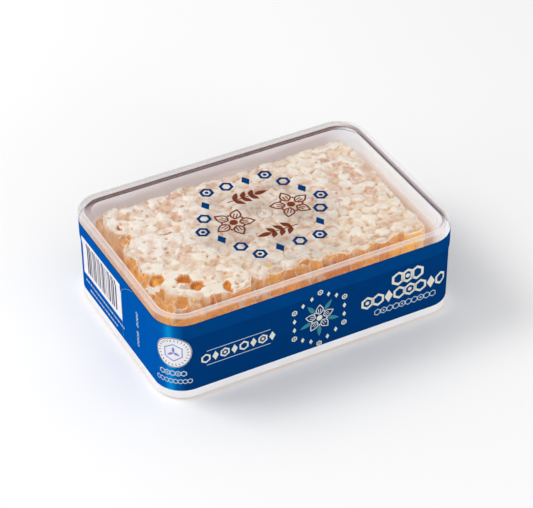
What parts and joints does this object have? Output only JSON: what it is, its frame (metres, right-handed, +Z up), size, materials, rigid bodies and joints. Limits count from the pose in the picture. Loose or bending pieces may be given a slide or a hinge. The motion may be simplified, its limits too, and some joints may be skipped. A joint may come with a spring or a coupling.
{
  "type": "boxed cut honeycomb",
  "caption": "Slab of capped cut comb in a shut clear plastic box, a tray with a telescoping lid, held closed by a printed blue label that wraps all four sides.",
  "frame": {"origin": "on the table, under the middle of the box", "axes": "+X along the long side, +Z up; the printed front of the label faces -Y"},
  "size_m": [0.116, 0.0792, 0.0363],
  "materials": {
    "clear_plastic": "clear injection-moulded polystyrene",
    "printed_label": "coated label card, printed deep blue with a white lower edge",
    "comb": "cream wax cappings over amber honey"
  },
  "bodies": {
    "root": {"tray": "clear_plastic", "lid": "clear_plastic", "label": "printed_label", "honeycomb": "comb"}
  },
  "joints": []
}
